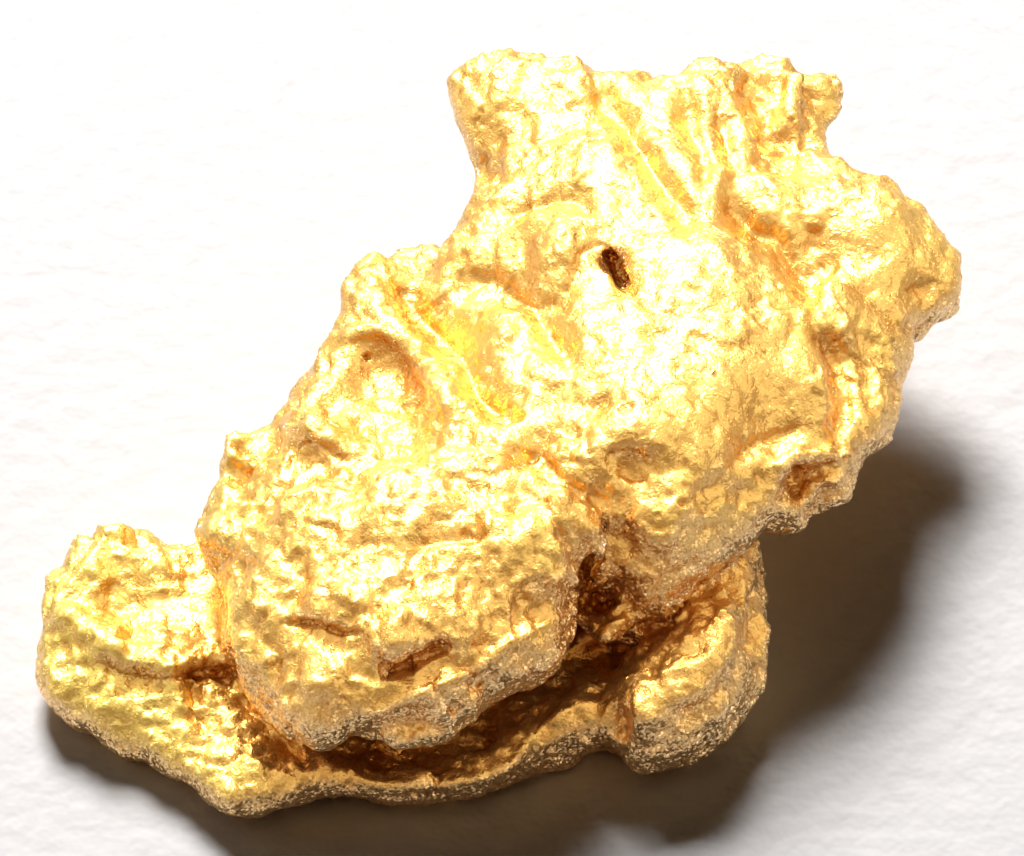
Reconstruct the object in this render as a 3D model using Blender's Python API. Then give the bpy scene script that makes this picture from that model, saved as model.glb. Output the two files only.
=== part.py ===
"""A native gold nugget: one thick slab of gold folded over a thinner sheet.

Metres, +Z up, resting on z = 0, the origin under the middle of its box.
The slab lies on top, tilted a little to the left. The sheet under it shows as a
lobe at the left, as a rim along the front and as a lobe at the lower right, and
between the two is a cavity that is open to the front and closed at the back.

The forms were laid out from one view: from the front, looking down at
VIEW_TILT. Places on them are given as pixels of that view (right, down), and
with a height in millimetres a pixel is one point in space.
"""
import math

import bmesh
import bpy
import numpy as np
from mathutils import Vector, noise
from mathutils.bvhtree import BVHTree

# Driving sizes, in millimetres
MM = 0.001
PIXEL = 0.030
VIEW_TILT = math.radians(50.0)
VIEW_DISTANCE = 300.0
VIEW_MIDDLE = (512.0, 428.0)
VIEW_TARGET = (0.215, 0.335, 3.325)

BLANK_VOXEL = 0.34
BODY_VOXEL = 0.25
SLAB_ROUND = 1.35
SHEET_ROUND = 0.55
LOBE_ROUND = 1.1
CORE_ROUND = 1.6
OUTLINE_STEPS = 6

LUMP_SIZE = 1.25
LUMP_HEIGHT = 0.13
WAVE_SIZE = 3.4
WAVE_HEIGHT = 0.22
HIDDEN_MORE = 0.9
FOOT_HEIGHT = 0.28
FLAT_UNDER = 0.02
TRIANGLES = 9200

GOLD = (0.93, 0.66, 0.24, 1.0)


def view_axes():
    """The view's right, up and back directions in space."""
    right = np.array((1.0, 0.0, 0.0))
    up = np.array((0.0, math.sin(VIEW_TILT), math.cos(VIEW_TILT)))
    back = np.array((0.0, -math.cos(VIEW_TILT), math.sin(VIEW_TILT)))
    return right, up, back


def eye():
    """Where the view is taken from, in millimetres."""
    return np.array(VIEW_TARGET) + view_axes()[2] * VIEW_DISTANCE


def at(px, py, height):
    """The point in plan that the view shows at a pixel, for a height."""
    right, up, back = view_axes()
    ray = (
        right * (px - VIEW_MIDDLE[0]) * PIXEL
        - up * (py - VIEW_MIDDLE[1]) * PIXEL
        - back * VIEW_DISTANCE
    )
    start = eye()
    reach = (height - start[2]) / ray[2]
    return start[0] + reach * ray[0], start[1] + reach * ray[1]


def to_pixels(points):
    """The pixels at which the view shows points, given in millimetres."""
    right, up, back = view_axes()
    offset = points - eye()
    depth = -(offset @ back)
    scale = VIEW_DISTANCE / depth / PIXEL
    px = VIEW_MIDDLE[0] + (offset @ right) * scale
    py = VIEW_MIDDLE[1] - (offset @ up) * scale
    return np.stack((px, py), axis=1)


# The slab's edge, clockwise from its back left corner: pixel and height
SLAB_EDGE = (
    (456, 88, 5.0), (480, 68, 5.2), (530, 60, 5.3), (580, 69, 5.3), (640, 79, 5.3),
    (668, 92, 5.3), (702, 75, 5.3), (745, 61, 5.2), (800, 60, 5.0), (843, 76, 4.8),
    (842, 104, 4.8), (830, 128, 4.9), (828, 150, 4.9), (850, 174, 4.8), (882, 194, 4.6),
    (919, 230, 4.4), (951, 262, 4.2), (961, 284, 4.2), (955, 305, 4.2), (930, 318, 4.1),
    (908, 345, 3.8), (897, 385, 3.8), (892, 425, 3.8), (877, 455, 3.8), (852, 474, 3.9),
    (842, 502, 3.8),
    (815, 517, 3.8), (767, 531, 3.9), (744, 552, 4.0), (707, 577, 4.0), (668, 601, 3.9),
    (640, 600, 3.9), (615, 588, 3.9), (592, 600, 3.8), (567, 650, 3.7), (545, 678, 3.7),
    (505, 702, 3.6), (460, 730, 3.5), (420, 744, 3.5), (385, 736, 3.5), (335, 755, 3.4),
    (295, 745, 3.4), (258, 712, 3.5), (236, 680, 3.5), (231, 635, 3.6), (231, 590, 3.7),
    (204, 545, 3.7), (208, 515, 3.7), (218, 480, 3.8), (222, 452, 3.9), (248, 431, 4.0),
    (280, 415, 4.2), (302, 394, 4.3), (322, 366, 4.4), (334, 330, 4.5), (345, 297, 4.6),
    (359, 275, 4.7), (382, 261, 4.8), (425, 283, 4.8), (443, 256, 4.8), (465, 215, 4.8),
    (478, 184, 4.8), (464, 150, 4.8), (458, 116, 4.9),
)
# Heights of the slab's top: pixel and height
SLAB_TOP = (
    (500, 80, 6.0), (600, 90, 6.3), (700, 90, 6.5), (750, 85, 6.4), (790, 100, 5.2),
    (815, 115, 4.8), (520, 160, 6.0), (600, 170, 6.9), (700, 170, 7.1), (775, 170, 6.7),
    (800, 175, 5.8), (870, 215, 6.0), (930, 260, 5.0), (490, 245, 5.9), (600, 255, 7.2),
    (700, 265, 7.5), (800, 290, 6.9), (880, 300, 5.6), (375, 285, 5.3), (430, 310, 5.2),
    (520, 340, 6.9), (620, 350, 7.7), (720, 360, 7.7), (800, 360, 7.0), (820, 430, 6.2),
    (868, 385, 5.3), (385, 385, 5.4), (330, 425, 6.0), (460, 400, 6.4), (540, 420, 7.0),
    (620, 430, 7.7), (700, 440, 7.4), (780, 450, 5.9), (830, 480, 4.7), (250, 450, 4.3),
    (245, 520, 4.7), (320, 510, 6.7), (420, 500, 7.2), (510, 520, 7.3), (560, 520, 7.2),
    (602, 550, 6.0), (670, 510, 7.1), (735, 510, 5.7), (265, 600, 5.5), (340, 590, 6.8),
    (440, 590, 7.1), (540, 590, 6.7), (570, 600, 6.0), (650, 560, 6.0), (268, 680, 4.7),
    (340, 680, 5.9), (430, 660, 6.1), (510, 640, 5.7), (340, 720, 4.9), (440, 700, 5.0),
)
# Heights of the slab's underside: plan millimetres and height
SLAB_UNDERSIDE = (
    (-4.0, -12.0, 2.8), (0.0, -11.5, 2.9), (3.0, -9.5, 3.0), (6.0, -7.5, 3.1),
    (8.5, -4.0, 3.5), (11.0, 0.0, 3.2), (12.5, 4.0, 3.1), (9.0, 8.0, 3.4), (8.0, 12.0, 4.2),
    (4.0, 11.0, 3.6), (0.0, 12.0, 4.3), (-3.0, 9.0, 3.3), (-4.0, 6.0, 3.6), (-8.0, 0.0, 2.9),
    (-9.0, -5.0, 2.8), (-8.0, -10.0, 2.8),
)
# The lower sheet's edge: pixels along the rim that shows, then plan millimetres
SHEET_RIM = (
    (215, 806, 0.6), (245, 818, 0.5), (300, 807, 0.6), (345, 800, 0.6), (400, 806, 0.6),
    (460, 795, 0.6), (500, 781, 0.7), (535, 766, 0.7), (590, 745, 0.8), (635, 735, 0.9),
)
SHEET_HIDDEN = (
    (6.2, -6.5), (7.2, -2.6), (7.4, 0.6), (8.8, 3.4), (7.6, 6.4), (5.2, 7.2), (3.4, 9.4),
    (0.8, 9.0), (-0.4, 6.8), (-3.4, 5.6), (-5.6, 2.2), (-7.0, 1.0), (-8.6, -3.2), (-9.4, -7.0),
)
SHEET_TOP = (
    (240, 800, 1.5), (345, 783, 1.6), (430, 787, 1.6), (510, 770, 1.7), (560, 718, 1.9),
    (610, 710, 2.2), (400, 762, 0.7), (480, 738, 0.7), (560, 685, 0.8), (600, 640, 1.2),
    (700, 600, 1.2), (600, 330, 2.0), (700, 380, 1.3), (640, 250, 2.2),
)
# The left lobe, a shallow dish with a ridge across its front
LOBE_EDGE = (
    (205, 545, 1.3), (180, 544, 1.2), (160, 543, 1.2), (146, 527, 1.2), (112, 529, 1.4),
    (82, 538, 1.4), (58, 566, 1.2), (44, 597, 1.1), (38, 645, 0.8), (38, 682, 0.5),
    (50, 713, 0.3), (80, 732, 0.3), (125, 750, 0.4), (155, 765, 0.6), (185, 789, 0.6),
    (215, 810, 0.5), (245, 819, 0.5), (290, 806, 0.6), (330, 780, 0.9), (345, 700, 1.4),
    (300, 600, 1.9), (250, 550, 1.9),
)
LOBE_TOP = (
    (80, 550, 2.3), (140, 540, 2.3), (60, 590, 2.1), (115, 590, 1.6), (165, 605, 1.7),
    (60, 640, 2.0), (110, 650, 2.3), (170, 658, 2.3), (60, 690, 1.6), (120, 700, 1.5),
    (205, 680, 1.3), (180, 730, 1.4), (150, 748, 1.2), (250, 740, 1.4), (215, 790, 1.4),
    (290, 780, 1.3), (240, 700, 1.3), (230, 620, 1.8),
)
# The lower right lobe: lumps along its length, pixel, height, radii in x, y, z
RIGHT_LOBE = (
    (655, 722, 1.45, 1.45, 1.25, 1.45), (680, 700, 1.60, 1.75, 1.55, 1.60),
    (702, 672, 1.75, 1.85, 1.70, 1.75), (718, 640, 1.80, 1.45, 1.70, 1.60),
    (730, 600, 1.80, 1.05, 1.75, 1.40), (735, 568, 1.80, 0.80, 1.60, 1.20),
)
# The mass that joins slab and sheet behind the cavity, in plan millimetres
CORE_EDGE = (
    (-8.0, -7.6), (-5.0, -6.8), (-1.0, -5.8), (3.0, -4.0), (6.2, -2.4), (7.2, 0.5),
    (7.4, 4.5), (4.8, 6.4), (2.6, 8.2), (-0.2, 6.4), (-3.6, 4.2), (-6.4, 0.6), (-8.2, -4.0),
)
CORE_FLOOR = 0.0
CORE_ROOF = 4.6
# Folds of the hidden back of the core: middle and radii, in millimetres
BACK_FOLDS = (
    ((-2.2, 6.2, 2.6), (1.8, 1.5, 1.7)), ((3.6, 8.2, 1.9), (1.7, 1.6, 1.6)),
    ((7.6, 4.0, 1.7), (1.4, 2.0, 1.5)), ((-5.2, 1.6, 2.4), (1.2, 1.8, 1.5)),
    ((6.0, 7.0, 3.0), (1.6, 1.2, 1.3)), ((0.4, 8.4, 3.4), (1.5, 1.1, 1.0)),
    ((7.6, 0.4, 2.6), (0.9, 1.5, 1.6)),
)
# Small lumps: pixel, height, radii in x, y, z
KNOBS = (
    (238, 452, 4.2, 0.55, 0.8, 0.7), (232, 492, 4.0, 0.5, 0.8, 0.7),
    (790, 510, 3.9, 0.5, 0.5, 0.6), (838, 462, 4.2, 0.6, 0.7, 0.7),
    (404, 736, 3.6, 0.5, 0.5, 0.5), (440, 732, 3.6, 0.45, 0.45, 0.45),
    (455, 705, 4.2, 0.6, 0.5, 0.7), (395, 635, 6.1, 0.8, 0.8, 0.7),
    (320, 428, 5.8, 0.7, 0.6, 0.7), (602, 612, 2.9, 0.95, 0.75, 0.85),
    (632, 612, 2.7, 0.80, 0.70, 0.80),
)

# Relief as strokes over the surface that shows: kind, half width and depth in
# millimetres, and the pixels that the stroke runs through. A ledge stands high
# on the left of its direction and low on the right.
RELIEF = (
    ("groove", 0.65, 0.60, ((388, 268), (425, 315), (465, 355), (482, 398), (522, 428))),
    ("groove", 0.55, 0.50, ((522, 428), (545, 455), (560, 480), (590, 497), (605, 505))),
    ("ridge", 0.45, 0.40, ((365, 290), (398, 325), (436, 365), (460, 402), (498, 432))),
    ("bowl", 1.40, 0.48, ((383, 378), (392, 408))),
    ("ridge", 0.35, 0.38, ((336, 345), (352, 330), (385, 331), (410, 348), (430, 382), (446, 420))),
    ("bowl", 0.50, 0.35, ((328, 402), (336, 412))),
    ("ledge", 0.45, 0.30, ((293, 470), (297, 448), (325, 448), (355, 456), (372, 452))),
    ("groove", 0.34, 0.75, ((605, 503), (606, 530), (602, 560), (594, 590), (598, 622))),
    ("bowl", 0.50, 0.45, ((588, 604), (612, 602))),
    ("groove", 0.22, 0.28, ((282, 624), (300, 622), (325, 627), (350, 633))),
    ("bowl", 0.55, 0.14, ((312, 638), (335, 642))),
    ("groove", 0.26, 0.34, ((382, 676), (405, 666), (428, 655), (452, 640))),
    ("bowl", 0.60, 0.30, ((415, 645), (435, 635))),
    ("bowl", 0.85, 0.42, ((535, 592), (542, 612))),
    ("ridge", 0.30, 0.35, ((513, 602), (516, 578), (540, 570), (562, 584))),
    ("groove", 0.25, 0.40, ((517, 522), (517, 506), (540, 501), (556, 520), (572, 552))),
    ("bump", 0.70, 0.40, ((565, 505), (585, 522))),
    ("groove", 0.28, 0.28, ((440, 476), (462, 479), (485, 492))),
    ("pit", 0.20, 1.00, ((611, 253), (618, 268), (626, 286))),
    ("bump", 1.00, 0.40, ((540, 225), (565, 228))),
    ("groove", 0.35, 0.40, ((610, 246), (588, 250), (576, 275), (560, 300), (538, 307))),
    ("groove", 0.50, 0.40, ((440, 270), (490, 280), (530, 303), (552, 335), (575, 360))),
    ("groove", 0.45, 0.30, ((500, 230), (530, 208), (572, 201), (600, 218))),
    ("groove", 0.40, 0.40, ((592, 76), (612, 105), (642, 152), (668, 192), (693, 235))),
    ("groove", 0.32, 0.32, ((688, 85), (690, 125), (702, 160), (704, 182))),
    ("groove", 0.32, 0.32, ((720, 98), (724, 132), (742, 165))),
    ("groove", 0.45, 0.50, ((730, 190), (745, 222), (778, 240), (800, 275), (820, 310))),
    ("bowl", 0.60, 0.50, ((810, 250), (822, 266))),
    ("groove", 0.35, 0.30, ((905, 290), (932, 288))),
    ("bump", 1.50, 0.35, ((890, 225), (915, 255))),
    ("groove", 0.70, 0.60, ((748, 72), (768, 115), (778, 140), (790, 168))),
    ("ridge", 0.30, 0.35, ((790, 75), (794, 105), (790, 135))),
    ("groove", 0.35, 0.90, ((484, 118), (485, 145), (487, 175))),
    ("bump", 1.10, 0.30, ((610, 420), (650, 405), (690, 420))),
    ("groove", 0.28, 0.30, ((625, 402), (605, 400), (590, 422))),
    ("ledge", 0.35, 0.25, ((606, 470), (610, 454), (640, 453), (652, 470))),
    ("bowl", 0.60, 0.20, ((630, 468), (640, 475))),
    ("groove", 0.35, 0.35, ((735, 460), (765, 440), (792, 430), (802, 420))),
    ("bowl", 0.55, 0.70, ((800, 478), (812, 498))),
    ("bowl", 0.45, 0.50, ((828, 475), (838, 485))),
    ("groove", 0.35, 0.35, ((820, 320), (838, 350), (845, 400), (838, 440))),
    ("bowl", 0.30, 0.40, ((235, 470), (247, 474))),
    ("groove", 0.28, 0.35, ((216, 552), (236, 561), (240, 580))),
    ("ridge", 0.45, 0.35, ((50, 605), (80, 625), (120, 655), (175, 664), (226, 660))),
    ("groove", 0.30, 0.38, ((95, 664), (155, 680), (200, 678), (234, 674))),
    ("bowl", 0.36, 0.28, ((190, 676), (225, 676))),
    ("groove", 0.40, 0.40, ((235, 685), (262, 720), (300, 762))),
    ("groove", 0.30, 0.12, ((88, 588), (128, 615), (150, 642))),
    ("ledge", 0.35, 0.30, ((600, 640), (650, 618), (700, 606))),
    ("groove", 0.26, 0.36, ((620, 702), (624, 724), (622, 742))),
)


def smooth_loop(points, steps):
    """A closed smooth curve through points, with steps to each stretch."""
    points = np.array(points, dtype=float)
    before, after = np.roll(points, 1, axis=0), np.roll(points, -1, axis=0)
    beyond = np.roll(points, -2, axis=0)
    curve = []
    for index in range(len(points)):
        a, b, c, d = before[index], points[index], after[index], beyond[index]
        for step in range(steps):
            t = step / steps
            curve.append(
                0.5 * (2 * b + (c - a) * t + (2 * a - 5 * b + 4 * c - d) * t**2
                       + (3 * b - a - 3 * c + d) * t**3)
            )
    return np.array(curve)


def blended(samples, spread=1.1):
    """A smooth function of plan points through (x, y, value) samples."""
    samples = np.array(samples)

    def value_at(plan):
        gap = ((plan[:, None, :] - samples[None, :, :2]) ** 2).sum(axis=2)
        weight = 1.0 / (gap + spread**2) ** 2
        return (weight * samples[:, 2]).sum(axis=1) / weight.sum(axis=1)

    return value_at


def seen(places):
    """(pixel, pixel, height) places as (x, y, height) in millimetres."""
    return [(*at(px, py, height), height) for px, py, height in places]


def level(height):
    """The same height all over."""
    return lambda plan: np.full(len(plan), height)


def distance_to_line(points, line, closed):
    """Distance of 2-D points to a line, how far along and on which side."""
    starts = np.array(line, dtype=float)
    ends = np.roll(starts, -1, axis=0)
    if not closed:
        starts, ends = starts[:-1], ends[:-1]
    lengths = np.linalg.norm(ends - starts, axis=1)
    run = np.concatenate(((0.0,), np.cumsum(lengths)))
    best = np.full(len(points), np.inf)
    along = np.zeros(len(points))
    side = np.zeros(len(points))
    for index, (start, end, length) in enumerate(zip(starts, ends, lengths)):
        way = (end - start) / length
        offset = points - start
        t = np.clip(offset @ way, 0.0, length)
        gap = np.linalg.norm(offset - t[:, None] * way, axis=1)
        closer = gap < best
        best[closer] = gap[closer]
        along[closer] = (run[index] + t[closer]) / run[-1]
        side[closer] = (way[1] * offset[closer, 0] - way[0] * offset[closer, 1])
    return best, along, side


def new_object(name, mesh):
    """A mesh object, linked to the scene."""
    item = bpy.data.objects.new(name, mesh)
    bpy.context.scene.collection.objects.link(item)
    return item


def applied(item, kind, **settings):
    """The object with one modifier of a kind added and applied."""
    modifier = item.modifiers.new(kind.lower(), kind)
    for key, value in settings.items():
        setattr(modifier, key, value)
    graph = bpy.context.evaluated_depsgraph_get()
    mesh = bpy.data.meshes.new_from_object(item.evaluated_get(graph))
    item.modifiers.clear()
    old = item.data
    item.data = mesh
    bpy.data.meshes.remove(old)
    return item


def get_points(item):
    """An object's points as an array, in millimetres."""
    points = np.empty(len(item.data.vertices) * 3)
    item.data.vertices.foreach_get("co", points)
    return points.reshape(-1, 3)


def set_points(item, points):
    """Move an object's points to an array's, in millimetres."""
    item.data.vertices.foreach_set("co", points.ravel())
    item.data.update()


def get_normals(item):
    """An object's point normals as an array."""
    normals = np.empty(len(item.data.vertices) * 3)
    item.data.vertex_normals.foreach_get("vector", normals)
    return normals.reshape(-1, 3)


def make_pad(name, outline, top, bottom, rounding):
    """A plate with an outline, a top and a bottom height and a rounded edge."""
    loop = smooth_loop(outline, OUTLINE_STEPS)
    work = bmesh.new()
    ring = [work.verts.new((x, y, 0.0)) for x, y in loop]
    face = work.faces.new(ring)
    grown = bmesh.ops.extrude_face_region(work, geom=[face])["geom"]
    lifted = [part for part in grown if isinstance(part, bmesh.types.BMVert)]
    bmesh.ops.translate(work, verts=lifted, vec=(0.0, 0.0, 4 * BLANK_VOXEL))
    bmesh.ops.recalc_face_normals(work, faces=work.faces)
    mesh = bpy.data.meshes.new(name)
    work.to_mesh(mesh)
    work.free()
    item = applied(new_object(name, mesh), "REMESH", mode="VOXEL", voxel_size=BLANK_VOXEL)
    points = get_points(item)
    low, high = points[:, 2].min(), points[:, 2].max()
    level = (points[:, 2] - low) / (high - low)
    plan = points[:, :2]
    gap, _, _ = distance_to_line(plan, loop, True)
    crown = np.sqrt(1.0 - (1.0 - np.clip(gap / rounding, 0.0, 1.0)) ** 2)
    crown = np.maximum(crown, 0.10)
    roof, floor = top(plan), bottom(plan)
    middle, half = (roof + floor) / 2, (roof - floor) / 2
    points[:, 2] = middle + (2 * level - 1) * half * crown
    set_points(item, points)
    return item


def make_lump(name, middle, radii):
    """An ellipsoid with a middle and three radii."""
    mesh = bpy.data.meshes.new(name)
    work = bmesh.new()
    bmesh.ops.create_icosphere(work, subdivisions=3, radius=1.0)
    bmesh.ops.scale(work, vec=radii, verts=work.verts)
    bmesh.ops.translate(work, vec=middle, verts=work.verts)
    work.to_mesh(mesh)
    work.free()
    return new_object(name, mesh)


def slab():
    """The thick upper slab."""
    edge = [place[:2] for place in seen(SLAB_EDGE)]
    top = blended(seen(SLAB_TOP))
    return make_pad("slab", edge, top, blended(SLAB_UNDERSIDE, 2.0), SLAB_ROUND)


def sheet():
    """The thin sheet under it, with its rim along the front."""
    edge = [place[:2] for place in seen(SHEET_RIM)] + list(SHEET_HIDDEN)
    return make_pad("sheet", edge, blended(seen(SHEET_TOP)), level(0.0), SHEET_ROUND)


def left_lobe():
    """The dished lobe at the left."""
    edge = [place[:2] for place in seen(LOBE_EDGE)]
    top = blended(seen(LOBE_TOP), 0.8)
    return make_pad("left lobe", edge, top, level(0.0), LOBE_ROUND)


def core():
    """The mass that joins slab and sheet at the back."""
    return make_pad("core", CORE_EDGE, level(CORE_ROOF), level(CORE_FLOOR), CORE_ROUND)


def lumps():
    """The lower right lobe, the small knobs and the folds at the back."""
    made = [make_lump("fold", middle, radii) for middle, radii in BACK_FOLDS]
    for px, py, height, *radii in RIGHT_LOBE + KNOBS:
        made.append(make_lump("lump", (*at(px, py, height), height), radii))
    return made


def united(pieces):
    """All pieces as one closed skin."""
    work = bmesh.new()
    for piece in pieces:
        work.from_mesh(piece.data)
    mesh = bpy.data.meshes.new("nugget")
    work.to_mesh(mesh)
    work.free()
    for piece in pieces:
        bpy.data.objects.remove(piece)
    body = new_object("nugget", mesh)
    applied(body, "REMESH", mode="VOXEL", voxel_size=BODY_VOXEL)
    return applied(body, "SMOOTH", factor=0.5, iterations=5)


def in_view(body):
    """How fully each point shows in the view, from 0 to 1."""
    points, normals = get_points(body), get_normals(body)
    faces = [tuple(face.vertices) for face in body.data.polygons]
    tree = BVHTree.FromPolygons([tuple(point) for point in points], faces)
    start = eye()
    shown = np.zeros(len(points))
    ways = start - points
    ways /= np.linalg.norm(ways, axis=1)[:, None]
    facing = (ways * normals).sum(axis=1)
    for index in np.nonzero(facing > 0.02)[0]:
        origin = points[index] + normals[index] * 0.05 + ways[index] * 0.05
        if tree.ray_cast(Vector(origin), Vector(ways[index]))[0] is None:
            shown[index] = min(1.0, facing[index] * 4)
    return shown


def stroke_profile(kind, gap, side, along, width):
    """How far a stroke lifts the surface, from -1 to 1, by the distance to it."""
    bell = np.exp(-((gap / width) ** 2))
    ends = np.clip(np.minimum(along, 1.0 - along) * 6.0 + 0.25, 0.0, 1.0)
    if kind == "ridge":
        return bell * ends
    if kind == "groove":
        return -bell * ends
    if kind == "pit":
        return -np.exp(-((gap / width) ** 4))
    if kind == "bowl":
        return -np.exp(-((gap / width) ** 3))
    if kind == "bump":
        return bell
    step = np.tanh(np.sign(side) * gap / width * 1.6)
    return step * np.exp(-((gap / (2.2 * width)) ** 2)) * ends


def carve(body):
    """Press the relief's strokes into the surface that shows."""
    points, normals, shown = get_points(body), get_normals(body), in_view(body)
    pixels = to_pixels(points)
    lift = np.zeros(len(points))
    for kind, width, depth, line in RELIEF:
        gap, along, side = distance_to_line(pixels, line, False)
        near = gap < 4 * width / PIXEL
        lift[near] += depth * stroke_profile(
            kind, gap[near] * PIXEL, side[near] * PIXEL, along[near], width
        )
    set_points(body, points + normals * (lift * shown)[:, None])
    return applied(body, "SMOOTH", factor=0.4, iterations=1)


def roughen(body):
    """Natural waves and lumps all over, stronger where the strokes don't reach."""
    points, normals = get_points(body), get_normals(body)
    hidden = 1.0 - in_view(body)
    lift = np.empty(len(points))
    for index, point in enumerate(points):
        wave = noise.noise(Vector(point / WAVE_SIZE))
        lump = 1.0 - 2.0 * abs(noise.noise(Vector(point / LUMP_SIZE)))
        more = 1.0 + HIDDEN_MORE * hidden[index]
        lift[index] = more * (WAVE_HEIGHT * wave + LUMP_HEIGHT * lump)
    set_points(body, points + normals * lift[:, None])
    return applied(body, "SMOOTH", factor=0.5, iterations=2)


def stand(body):
    """Press the lowest places flat at z = 0, so the nugget rests on them."""
    points = get_points(body)
    points[:, 2] -= points[:, 2].min() + FOOT_HEIGHT
    middle = (points.min(axis=0) + points.max(axis=0)) / 2
    points[:, :2] -= middle[:2]
    points[:, 2] = np.maximum(points[:, 2], 0.0)
    set_points(body, points)
    return body


def thin_out(body):
    """Fewer, larger triangles, in metres."""
    applied(body, "TRIANGULATE")
    share = TRIANGLES / len(body.data.polygons)
    applied(body, "DECIMATE", decimate_type="COLLAPSE", ratio=share)
    points = get_points(body)
    points[points[:, 2] < FLAT_UNDER, 2] = 0.0
    set_points(body, points * MM)
    body.data.shade_smooth()
    return body


def gold():
    """Native gold, worn dull."""
    material = bpy.data.materials.new("native gold")
    material.use_nodes = True
    shader = material.node_tree.nodes["Principled BSDF"]
    shader.inputs["Base Color"].default_value = GOLD
    shader.inputs["Metallic"].default_value = 1.0
    shader.inputs["Roughness"].default_value = 0.32
    return material


def main():
    for item in list(bpy.data.objects):
        bpy.data.objects.remove(item)
    body = united([slab(), sheet(), left_lobe(), core()] + lumps())
    roughen(body)
    carve(body)
    stand(body)
    thin_out(body)
    body.data.materials.append(gold())


main()
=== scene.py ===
"""A gold nugget on white paper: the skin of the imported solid, finished as native gold.

The solid's form is taken over and refined: its skin is remeshed finely, pressed
with the creases, pits, ledges and bumps that the nugget shows from the front,
crumpled all over as cold-folded gold is, and given one material.
Places on the nugget are given as pixels of the front view, which is 1024 by 856.
"""
import math

import bpy
import numpy as np
from mathutils import Matrix, Vector, noise
from mathutils.bvhtree import BVHTree


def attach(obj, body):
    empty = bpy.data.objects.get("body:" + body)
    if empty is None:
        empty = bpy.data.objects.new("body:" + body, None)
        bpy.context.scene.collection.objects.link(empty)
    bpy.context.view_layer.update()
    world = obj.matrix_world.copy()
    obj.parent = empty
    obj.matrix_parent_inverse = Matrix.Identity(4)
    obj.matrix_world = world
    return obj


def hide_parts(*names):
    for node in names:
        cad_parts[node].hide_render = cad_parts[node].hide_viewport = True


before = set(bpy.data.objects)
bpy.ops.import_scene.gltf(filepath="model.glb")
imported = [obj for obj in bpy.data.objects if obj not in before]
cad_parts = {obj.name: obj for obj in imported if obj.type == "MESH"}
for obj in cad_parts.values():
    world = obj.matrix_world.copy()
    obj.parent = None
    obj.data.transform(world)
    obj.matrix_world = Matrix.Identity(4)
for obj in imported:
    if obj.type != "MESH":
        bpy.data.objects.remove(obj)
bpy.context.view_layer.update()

bl_info = {
    "name": "Gold Nugget",
    "version": (1, 0, 0),
    "blender": (4, 5, 0),
    "location": "3D View > Sidebar > Nugget",
    "description": "Models a native gold nugget around its packed solid",
    "category": "Add Mesh",
}

# The front view: where it looks, from how steep and how far, and its scale
VIEW_TILT = math.radians(50.0)
VIEW_DISTANCE = 300.0
VIEW_TARGET = (0.241, -0.392, 3.529)
VIEW_WIDTH_PX = 1024
VIEW_HEIGHT_PX = 856
PIXEL = 0.030
SENSOR = 36.0
MM = 0.001
HALF = Vector((0.5, 0.5, 0.5))

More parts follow.
